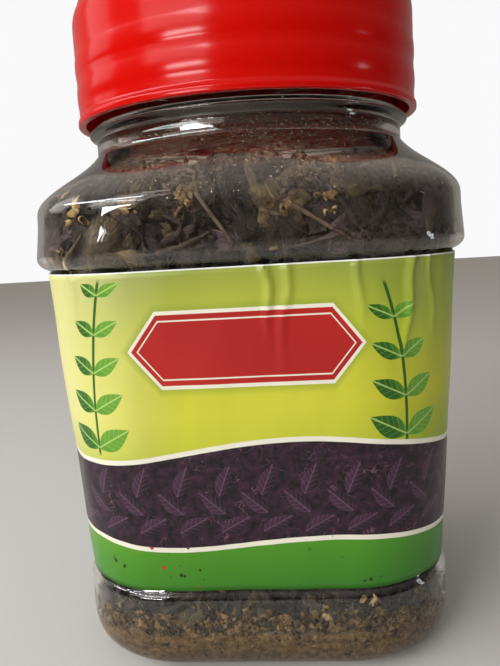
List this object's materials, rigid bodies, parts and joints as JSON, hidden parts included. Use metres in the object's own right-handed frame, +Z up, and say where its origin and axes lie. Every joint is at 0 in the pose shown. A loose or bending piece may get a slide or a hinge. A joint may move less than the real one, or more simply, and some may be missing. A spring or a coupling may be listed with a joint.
{
  "type": "jar of dried basil",
  "caption": "Clear square plastic jar with a red screw lid and a wrap-round printed film label, filled with crumpled dried purple basil leaves over fine crumbs.",
  "frame": {"origin": "middle of the jar's base, on the surface that it stands on", "axes": "+Z up through the lid, -Y out of the label's front"},
  "size_m": [0.098, 0.098, 0.1564],
  "materials": {
    "clear_plastic": "gloss",
    "red_plastic": "gloss",
    "white_foam": "matte",
    "printed_film": "satin",
    "dried_leaf": "matte",
    "leaf_crumb": "matte"
  },
  "bodies": {
    "jar": {"jar": "clear_plastic", "label": "printed_film", "dried_basil": "dried_leaf", "basil_crumbs": "leaf_crumb"},
    "seal": {"liner": "white_foam"},
    "lid": {"lid": "red_plastic"}
  },
  "joints": [
    {"name": "lid_rise", "type": "slide", "parent": "jar", "child": "seal", "axis": [0, 0, 1], "range_m": [0, 0.0063]},
    {"name": "lid_turn", "type": "hinge", "parent": "seal", "child": "lid", "pos_m": [0, 0, 0.14], "axis": [0, 0, 1], "range_deg": [0, 450]}
  ],
  "couplings": [
    {"joint": "lid_rise", "follows": "lid_turn", "m_per_rad": 0.00079577}
  ]
}
